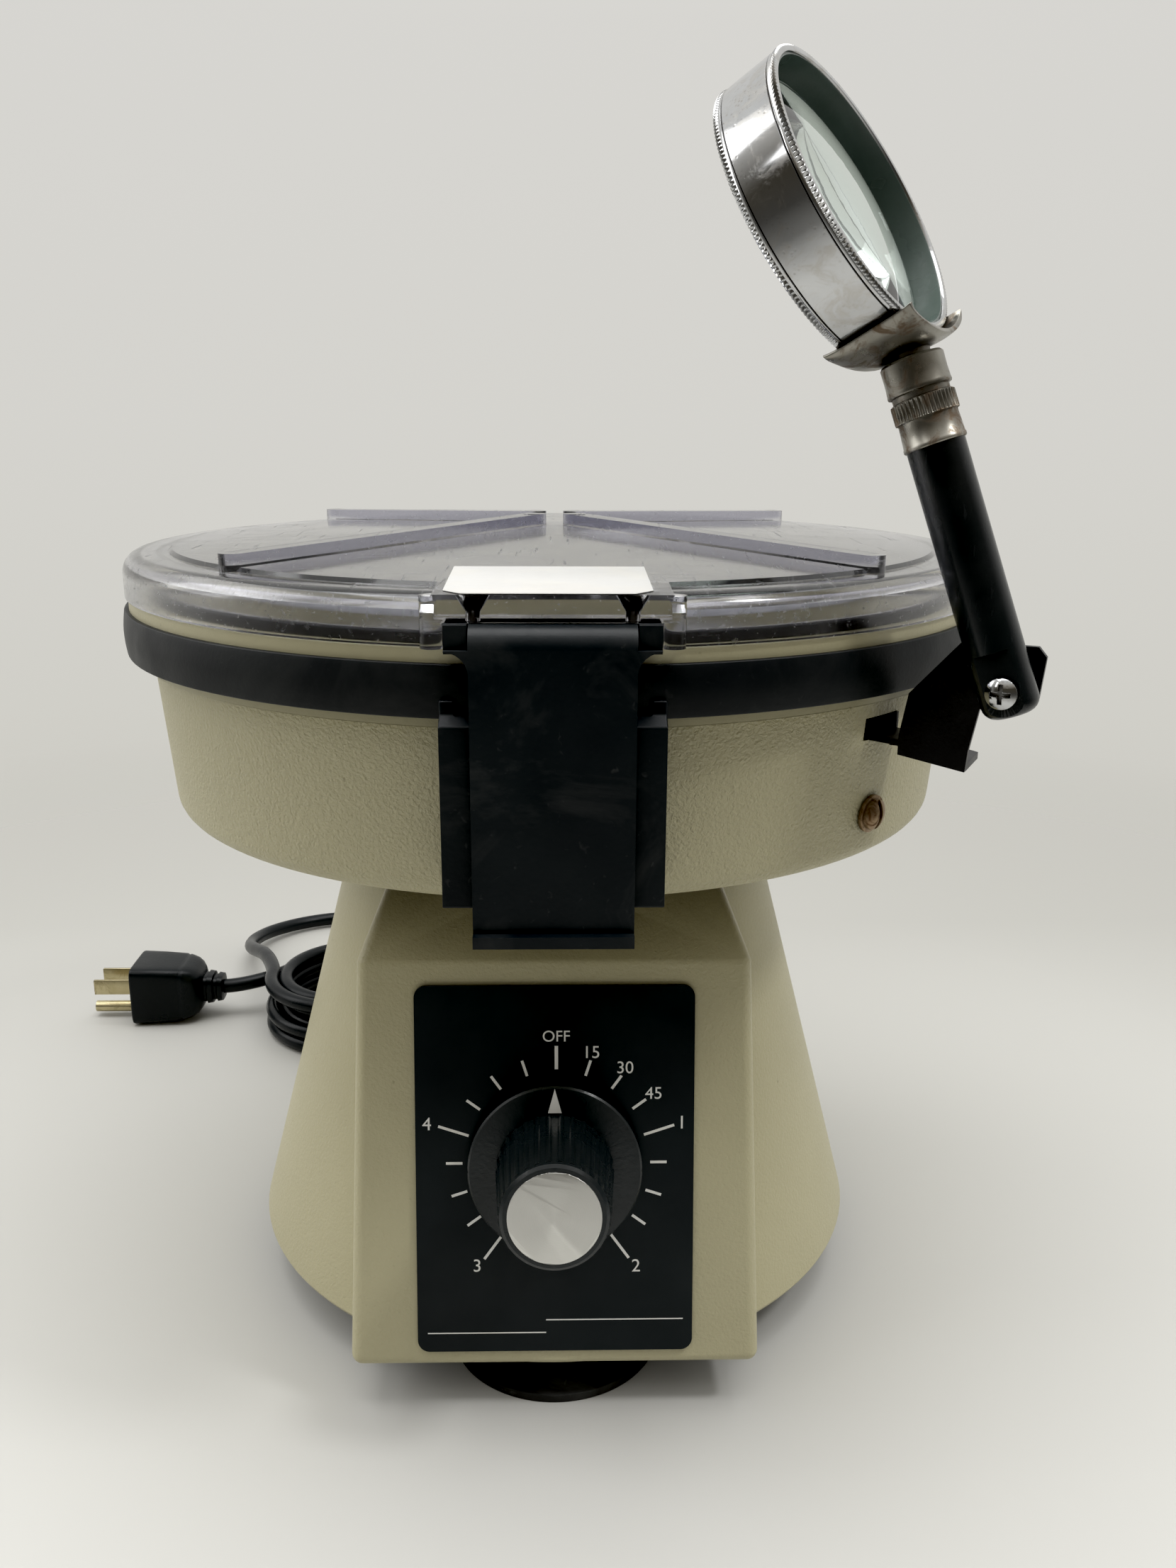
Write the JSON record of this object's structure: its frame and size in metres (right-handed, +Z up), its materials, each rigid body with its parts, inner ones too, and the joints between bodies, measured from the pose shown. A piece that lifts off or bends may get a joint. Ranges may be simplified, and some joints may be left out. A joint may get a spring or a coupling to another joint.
{
  "type": "microcentrifuge",
  "caption": "Table-top haematocrit centrifuge: round bowl with a clear hinged lid, slotted tube rotor, tilted timer panel on a conical base and a swing-out magnifier.",
  "frame": {"origin": "on the rotor axis at bench level, midway between the front of the latch strap and the back of the lid hinge", "axes": "+Z up along the rotor axis, -Y is the front with the timer knob and latch, +X is to the right seen from the front"},
  "size_m": [0.325, 0.3914, 0.3333],
  "materials": {
    "beige_plastic": "moulded, fine leather grain",
    "black_plastic": "satin moulded",
    "bumper_rubber": "satin",
    "foot_rubber": "matte",
    "gasket_rubber": "matte",
    "clear_plastic": "clear polycarbonate",
    "label_white": "printed vinyl",
    "panel_black": "satin printed plate",
    "knob_black": "moulded",
    "pointer_white": "filled",
    "spun_aluminium": "turned",
    "rotor_aluminium": "machined, anodised",
    "zinc_steel": "zinc plated",
    "ground_steel": "ground",
    "rusty_screw": "rusted plating",
    "sheet_steel": "grey paint",
    "bracket_paint": "satin black paint",
    "timer_case": "yellow zinc",
    "lamination": "stamped",
    "copper_winding": "enamelled wire",
    "carbon": "pressed graphite",
    "bakelite": "moulded",
    "fan_plastic": "moulded",
    "handle_black": "polished",
    "tarnished_nickel": "tarnished plating",
    "bright_chrome": "polished",
    "lens_glass": "polished",
    "cord_pvc": "satin vinyl",
    "blade_brass": "plated"
  },
  "bodies": {
    "housing": {"bowl": "beige_plastic", "bumper_ring": "bumper_rubber", "bowl_gasket": "gasket_rubber", "base_shell": "beige_plastic", "base_screws": "zinc_steel", "base_plate": "sheet_steel", "base_plate_screws": "zinc_steel", "foot_front": "foot_rubber", "foot_right": "foot_rubber", "foot_left": "foot_rubber", "foot_bolts": "zinc_steel", "control_plate": "panel_black", "timer_body": "timer_case", "timer_nut": "zinc_steel", "motor_plate": "rotor_aluminium", "motor_mounts": "gasket_rubber", "motor_screws": "zinc_steel", "motor_shell": "sheet_steel", "motor_end_bell": "rotor_aluminium", "field_stack": "lamination", "field_windings": "copper_winding", "brush_caps": "bakelite", "carbon_brushes": "carbon", "bearings": "ground_steel", "latch_guide": "black_plastic", "hinge_bracket": "black_plastic", "hinge_pin": "ground_steel", "lens_bracket": "bracket_paint", "bracket_screw": "rusty_screw", "pivot_screw": "bright_chrome", "strain_relief": "cord_pvc", "power_cord": "cord_pvc", "cord_coil": "cord_pvc", "plug": "cord_pvc", "plug_blades": "blade_brass"},
    "rotor": {"motor_shaft": "ground_steel", "armature": "copper_winding", "commutator": "copper_winding", "cooling_fan": "fan_plastic", "rotor_plate": "rotor_aluminium", "tube_gasket": "gasket_rubber", "rotor_cover": "rotor_aluminium", "rotor_nut": "knob_black"},
    "lid": {"lid_shell": "clear_plastic", "lid_label": "label_white", "lid_rivets": "tarnished_nickel", "latch_block": "black_plastic", "hinge_leaf": "black_plastic", "hinge_screws": "zinc_steel"},
    "latch": {"latch_strap": "black_plastic"},
    "timer_dial": {"timer_spindle": "ground_steel", "timer_knob": "knob_black", "knob_cap": "spun_aluminium", "knob_pointer": "pointer_white", "knob_set_screw": "zinc_steel"},
    "magnifier_arm": {"magnifier_handle": "handle_black", "ferrule": "tarnished_nickel"},
    "lens_head": {"lens_stem": "tarnished_nickel", "lens_ring": "bright_chrome", "magnifier_lens": "lens_glass"}
  },
  "joints": [
    {"name": "rotor_spin", "type": "hinge", "parent": "housing", "child": "rotor", "pos_m": [0, 0, 0.17], "axis": [0, 0, 1], "continuous": true},
    {"name": "lid_hinge", "type": "hinge", "parent": "housing", "child": "lid", "pos_m": [0, 0.1255, 0.206], "axis": [-1, 0, 0], "range_deg": [0, 100]},
    {"name": "latch_flex", "type": "hinge", "parent": "lid", "child": "latch", "pos_m": [0, -0.12145, 0.2118], "axis": [-1, 0, 0], "range_deg": [0, 12], "stiffness_Nm_per_rad": 0.25},
    {"name": "timer_turn", "type": "hinge", "parent": "housing", "child": "timer_dial", "pos_m": [0, -0.08436, 0.06899], "axis": [0, 0.986, -0.1668], "range_deg": [0, 342]},
    {"name": "handle_pivot", "type": "hinge", "parent": "housing", "child": "magnifier_arm", "pos_m": [0.0996, -0.1073, 0.2003], "axis": [-0.4787, -0.878, 0], "range_deg": [-90, 0]},
    {"name": "lens_swivel", "type": "hinge", "parent": "magnifier_arm", "child": "lens_head", "pos_m": [0.0996, -0.1073, 0.2003], "axis": [-0.3075, 0.1676, 0.9367], "range_deg": [-90, 90]}
  ],
  "couplings": [
    {"joint": "handle_pivot", "follows": "lid_hinge", "ratio": -0.9}
  ]
}
